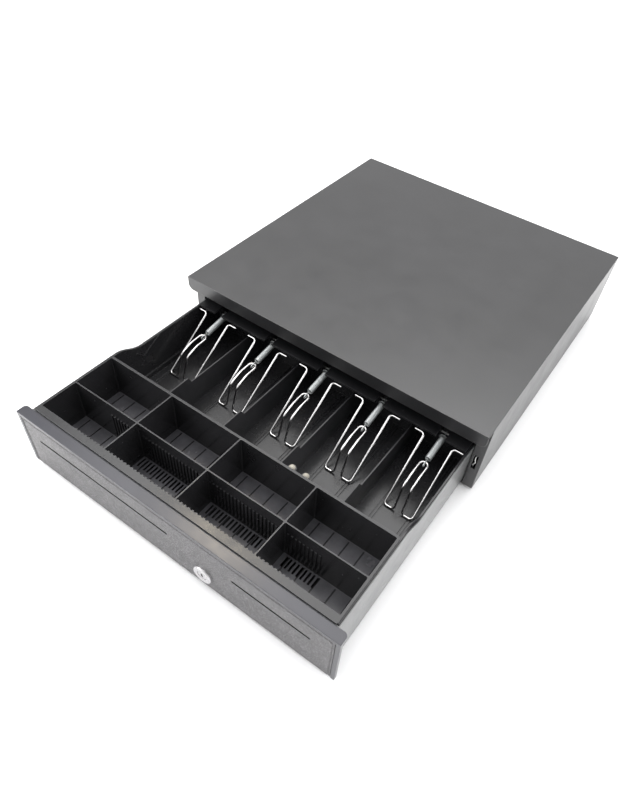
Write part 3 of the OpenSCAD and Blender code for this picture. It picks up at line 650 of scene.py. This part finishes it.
LOUVRE_WIDE = 34 * MM
LOUVRE_TALL = 3.2 * MM
LOUVRE_DEEP = 1.5 * MM
LOUVRE_PITCH = 7.5 * MM
LOUVRE_ROWS = 6
LOUVRE_LEFTS = (53.8 * MM, 98.8 * MM)   # each column's left edge, from the rear panel's left edge
LOUVRE_TOP = 38.8 * MM                  # the first row's top, down from the rear panel's top edge
LOUVRE_END = 0.25                       # share of the width over which each end slopes up
LOUVRE_STEPS = 12
LOUVRE_RIBS = 4
UNDERSIDE_GAP = 0.05 * MM               # between the underside's rear edge and the panel


def louvre(bm, left, top, face_y):
    """A pressed louvre that swells out from a face, down to a flat underside."""
    columns = []
    for k in range(LOUVRE_STEPS + 1):
        share = k / LOUVRE_STEPS
        swell = math.sin(math.pi / 2 * min(1.0, min(share, 1 - share) / LOUVRE_END))
        columns.append([bm.verts.new((left + LOUVRE_WIDE * share,
                                      face_y + LOUVRE_DEEP * swell * math.sin(math.pi / 2 * j / LOUVRE_RIBS),
                                      top - LOUVRE_TALL * j / LOUVRE_RIBS)) for j in range(LOUVRE_RIBS + 1)])
    for first, second in zip(columns, columns[1:]):
        for j in range(LOUVRE_RIBS):
            bm.faces.new((first[j], second[j], second[j + 1], first[j + 1]))
    lip = [column[-1] for column in columns]
    back = [bm.verts.new((corner.co.x, face_y + UNDERSIDE_GAP, corner.co.z)) for corner in lip]
    for k in range(LOUVRE_STEPS):
        bm.faces.new((lip[k], lip[k + 1], back[k + 1], back[k]))


def rear_louvres():
    """Two columns of ventilation louvres on the rear panel."""
    low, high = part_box("rear_panel")
    bm = bmesh.new()
    for left in LOUVRE_LEFTS:
        for row in range(LOUVRE_ROWS):
            louvre(bm, low.x + left, high.z - LOUVRE_TOP - row * LOUVRE_PITCH, high.y)
    piece("rear_louvres", bm, dark_steel, "case")


rear_louvres()


# ---- slide catches ----

CATCH_WIRE = 0.75 * MM
CATCH_INSET = 1.9 * MM     # from the front screws' outer edge in to a catch's middle
CATCH_FORWARD = 1.2 * MM   # from the front screws' rear end forward to it
CATCH_DROP = 33.5 * MM     # from the front screws' middle down to it
# The bent strip's route: outward, back and up from its middle, in millimetres
CATCH_ROUTE = ((-0.2, 2.4, -9.0), (-0.6, 0.9, -6.5), (-0.9, 0.2, -3.5), (0.5, 0.1, -1.5),
               (0.9, 0.2, 1.0), (-0.3, 0.1, 3.5), (-0.5, 0.8, 6.5), (0.3, 2.4, 9.0))


def slide_catches():
    """The bent steel tab that shows in the window of each side return."""
    low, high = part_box("front_screws")
    bm = bmesh.new()
    for side in (-1, 1):
        middle = Vector((side * (high.x - CATCH_INSET), high.y - CATCH_FORWARD,
                         (low.z + high.z) / 2 - CATCH_DROP))
        path = [middle + Vector((side * out, back, up)) * MM for out, back, up in CATCH_ROUTE]
        sweep(bm, path, CATCH_WIRE, sides=10)
    piece("slide_catches", bm, zinc, "case")


slide_catches()


# ---- painted shade in the slots ----

SLOTS = ((20.2 * MM, 200.8 * MM), (279.9 * MM, 368.2 * MM))   # ends, from the front panel's left edge
SLOT_MIDDLE = 47.1 * MM    # above the front panel's lower edge
SLOT_HALF = 1.7 * MM       # half a slot's height
SHADE_SLEEVE_PLAY = 0.02 * MM     # between a shade sleeve and its slot
SHADE_SLEEVE_WALL = 0.4 * MM
SHADE_SLEEVE_DEPTH = 3.7 * MM
SHADE_SLEEVE_SUNK = 0.05 * MM     # behind the front panel's face
OUTER_FILLET = 0.02 * MM
INNER_FILLET = 0.35 * MM


def slot_shade_sleeves():
    """A thin black sleeve in each of the two slots of the drawer front: painted shade inside them."""
    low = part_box("front_panel")[0]
    front = low.y + SHADE_SLEEVE_SUNK
    middle = low.z + SLOT_MIDDLE
    bm = bmesh.new()
    for start, end in SLOTS:
        loops = []
        for inset, fillet in ((SHADE_SLEEVE_PLAY, OUTER_FILLET), (SHADE_SLEEVE_PLAY + SHADE_SLEEVE_WALL, INNER_FILLET)):
            half = SLOT_HALF - inset
            loops.append(rounded_outline(low.x + start + inset, low.x + end - inset,
                                         middle - half, middle + half, fillet))
        rings = [[bm.verts.new((x, y, z)) for x, z in loop]
                 for y in (front, front + SHADE_SLEEVE_DEPTH) for loop in loops]
        outer, inner, rear_outer, rear_inner = rings
        join(bm, outer, inner)
        join(bm, inner, rear_inner)
        join(bm, rear_inner, rear_outer)
        join(bm, rear_outer, outer)
    # the black plastic here stands for the shade inside the slots
    piece("slot_shade_sleeves", bm, black_plastic, "drawer", smooth=False)


slot_shade_sleeves()


# ---- jack contacts ----

CONTACTS = 6
CONTACT_PITCH = 1.27 * MM
CONTACT_WIRE = 0.22 * MM
# Each contact's bends: forward from the jack's mouth and down from its top edge
CONTACT_BENDS = ((1.2 * MM, 7.4 * MM), (3.0 * MM, 7.9 * MM), (10.5 * MM, 10.2 * MM))


def jack_contacts():
    """The springy gold wires that slope down into the jack's socket."""
    low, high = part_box("line_jack")
    first_x = (low.x + high.x - (CONTACTS - 1) * CONTACT_PITCH) / 2
    bm = bmesh.new()
    for k in range(CONTACTS):
        path = [Vector((first_x + k * CONTACT_PITCH, high.y - inward, high.z - down))
                for inward, down in CONTACT_BENDS]
        sweep(bm, path, CONTACT_WIRE)
    piece("jack_contacts", bm, gold, "case")


jack_contacts()


# ---- camera ----

AZIMUTH, ELEVATION, ROLL = math.radians(30.2), math.radians(47.7), math.radians(6.53)
FROM_COVER = Vector((0.0765, -0.44459, 0.47984))   # from the cover's right front upper corner


def photo_camera():
    """A camera at the photograph's viewing angle."""
    data = bpy.data.cameras.new("camera")
    data.sensor_width = 36.0
    data.lens = 28.28
    data.shift_x = -0.0218
    data.shift_y = 0.0058
    camera = bpy.data.objects.new("camera", data)
    bpy.context.scene.collection.objects.link(camera)
    bpy.context.scene.camera = camera

    back = Vector((math.sin(AZIMUTH) * math.cos(ELEVATION), -math.cos(AZIMUTH) * math.cos(ELEVATION),
                   math.sin(ELEVATION)))
    level = Vector((0, 0, 1)).cross(back).normalized()
    upright = back.cross(level)
    across = math.cos(ROLL) * level + math.sin(ROLL) * upright
    upward = -math.sin(ROLL) * level + math.cos(ROLL) * upright
    low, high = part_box("top_cover")
    place = Vector((high.x, low.y, high.z)) + FROM_COVER
    camera.matrix_world = axes_at(place, across, upward, back)


photo_camera()


# ---- floor ----

FLOOR_REACH = 6.0          # metres from the middle to each side


def studio_floor():
    """A plain pale floor."""
    mesh = bpy.data.meshes.new("floor")
    corners = [(-FLOOR_REACH, -FLOOR_REACH, 0), (FLOOR_REACH, -FLOOR_REACH, 0),
               (FLOOR_REACH, FLOOR_REACH, 0), (-FLOOR_REACH, FLOOR_REACH, 0)]
    mesh.from_pydata(corners, [], [(0, 1, 2, 3)])
    floor = bpy.data.objects.new("floor", mesh)
    bpy.context.scene.collection.objects.link(floor)
    paint = bpy.data.materials.new("floor")
    paint.use_nodes = True
    shader = paint.node_tree.nodes["Principled BSDF"]
    shader.inputs["Base Color"].default_value = (0.93, 0.93, 0.935, 1.0)
    shader.inputs["Roughness"].default_value = 0.7
    mesh.materials.append(paint)


studio_floor()


# ---- light ----

def lamp(name, place, aim, size, power, tint=(1.0, 1.0, 1.0)):
    """A rectangular lamp of a size in metres and a power in watts, turned from its place to its aim."""
    data = bpy.data.lights.new(name, "AREA")
    data.shape = "RECTANGLE"
    data.size, data.size_y = size
    data.energy = power
    data.color = tint
    obj = bpy.data.objects.new(name, data)
    bpy.context.scene.collection.objects.link(obj)
    obj.location = place
    obj.rotation_mode = "QUATERNION"
    obj.rotation_quaternion = (Vector(aim) - Vector(place)).to_track_quat("-Z", "Y")


lamp("warm_lamp", place=(-0.47, 0.14, 1.3), aim=(0.06, -0.33, 0.08), size=(0.14, 0.14), power=1.0,
     tint=(1.0, 0.84, 0.58))
lamp("front_left", place=(-0.55, -0.78, 0.42), aim=(-0.15, -0.33, 0.04), size=(0.45, 0.45), power=2.2)
lamp("overhead", place=(-0.2, 0.3, 2.2), aim=(0, 0, 0), size=(2.4, 2.4), power=55.0)
lamp("left_window", place=(-1.9, -0.6, 1.3), aim=(0, -0.1, 0), size=(1.4, 1.2), power=22.0)
lamp("right_window", place=(2.0, 0.2, 0.9), aim=(0, 0, 0), size=(1.6, 1.0), power=16.0)


def studio_sky():
    """Soft white light from all round, a little darker from low down and from in front."""
    world = bpy.data.worlds.new("studio")
    bpy.context.scene.world = world
    world.use_nodes = True
    tree = world.node_tree
    light = tree.nodes["Background"]
    parts = add(tree, "ShaderNodeSeparateXYZ")
    tree.links.new(add(tree, "ShaderNodeTexCoord").outputs["Generated"], parts.inputs[0])
    height = spread(tree, parts.outputs["Z"], low=-0.1, high=0.9)
    shade = blend_colour(tree, height, (0.80, 0.80, 0.81), (1.0, 1.0, 1.0))
    front = spread(tree, parts.outputs["Y"], low=-0.2, high=-0.8, to_high=0.5)
    shade = blend_colour(tree, front, shade, (0.62, 0.62, 0.63))
    tree.links.new(shade, light.inputs["Color"])
    light.inputs["Strength"].default_value = 1.0


studio_sky()
bpy.context.scene.view_settings.view_transform = "Standard"
